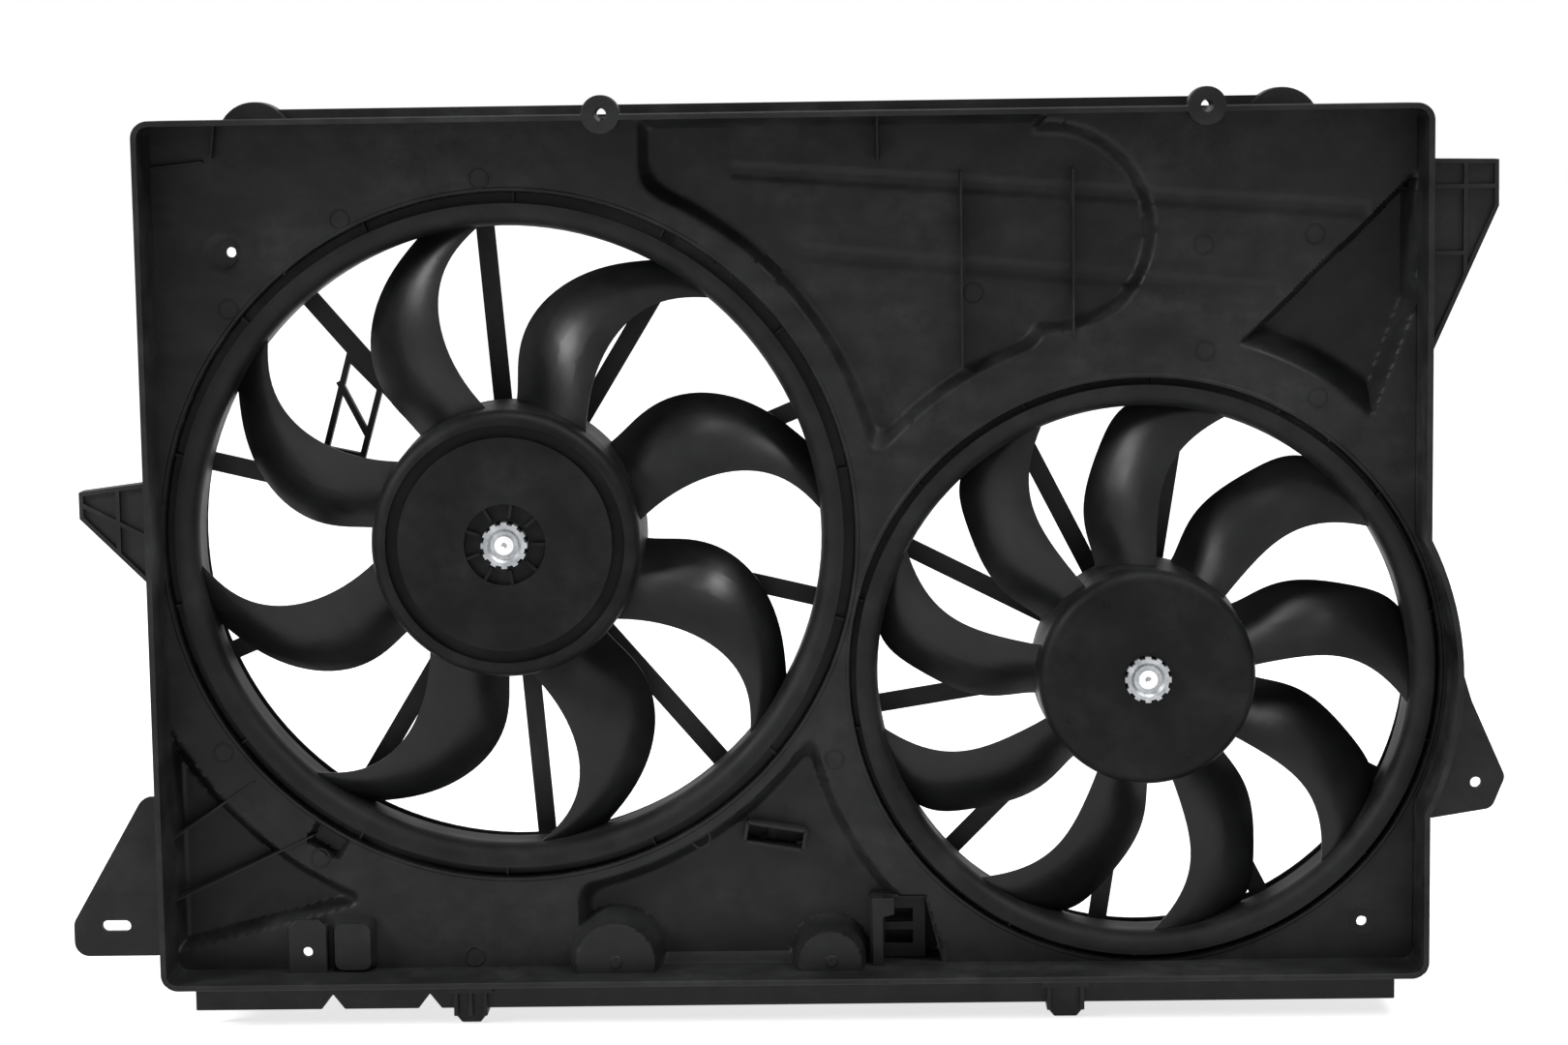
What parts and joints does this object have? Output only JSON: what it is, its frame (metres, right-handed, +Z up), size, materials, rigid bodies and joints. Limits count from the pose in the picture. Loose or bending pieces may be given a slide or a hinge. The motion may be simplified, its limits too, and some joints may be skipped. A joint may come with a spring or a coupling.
{
  "type": "radiator_fan_shroud",
  "caption": "Black moulded radiator fan shroud with two ringed electric fans of different sizes, their motors carried on struts behind",
  "frame": {"origin": "centre of the rim's front plane, which seats round the radiator core", "axes": "X right as seen from the radiator, Y from radiator to engine, Z up"},
  "size_m": [0.7645, 0.125, 0.4925],
  "materials": {
    "shroud_plastic": "satin",
    "fan_plastic": "satin",
    "motor_steel": "satin",
    "bearing_bronze": "matte",
    "zinc_steel": "satin",
    "ferrite": "matte",
    "card_resin": "matte",
    "carbon": "matte",
    "socket_plastic": "satin",
    "tinned_brass": "satin",
    "insert_metal": "satin",
    "shaft_steel": "polished",
    "core_steel": "matte",
    "copper": "gloss",
    "commutator_copper": "satin"
  },
  "bodies": {
    "shroud": {"rim_top": "shroud_plastic", "rim_right": "shroud_plastic", "rim_bottom": "shroud_plastic", "rim_left": "shroud_plastic", "shroud_floor": "shroud_plastic", "window_latch": "shroud_plastic", "left_brace": "shroud_plastic", "left_guides": "shroud_plastic", "left_barrel": "shroud_plastic", "left_motor_ring": "shroud_plastic", "left_struts": "shroud_plastic", "left_can": "motor_steel", "left_end_plate": "motor_steel", "left_front_bearing": "bearing_bronze", "left_rear_bearing": "bearing_bronze", "left_flange": "zinc_steel", "left_screws": "zinc_steel", "left_magnets": "ferrite", "left_brush_card": "card_resin", "left_brushes": "carbon", "left_socket": "socket_plastic", "left_terminals": "tinned_brass", "right_barrel": "shroud_plastic", "right_motor_ring": "shroud_plastic", "right_struts": "shroud_plastic", "right_can": "motor_steel", "right_end_plate": "motor_steel", "right_front_bearing": "bearing_bronze", "right_rear_bearing": "bearing_bronze", "right_flange": "zinc_steel", "right_screws": "zinc_steel", "right_magnets": "ferrite", "right_brush_card": "card_resin", "right_brushes": "carbon", "right_socket": "socket_plastic", "right_terminals": "tinned_brass"},
    "left_fan": {"left_hub": "fan_plastic", "left_blades": "fan_plastic", "left_fan_ring": "fan_plastic", "left_insert": "insert_metal", "left_shaft": "shaft_steel", "left_core": "core_steel", "left_windings": "copper", "left_commutator": "commutator_copper"},
    "right_fan": {"right_hub": "fan_plastic", "right_blades": "fan_plastic", "right_fan_ring": "fan_plastic", "right_insert": "insert_metal", "right_shaft": "shaft_steel", "right_core": "core_steel", "right_windings": "copper", "right_commutator": "commutator_copper"}
  },
  "joints": [
    {"name": "left_fan_spin", "type": "hinge", "parent": "shroud", "child": "left_fan", "pos_m": [-0.1482, 0.08, 0.0063], "axis": [0, 1, 0], "continuous": true},
    {"name": "right_fan_spin", "type": "hinge", "parent": "shroud", "child": "right_fan", "pos_m": [0.189, 0.08, -0.0696], "axis": [0, 1, 0], "continuous": true}
  ]
}
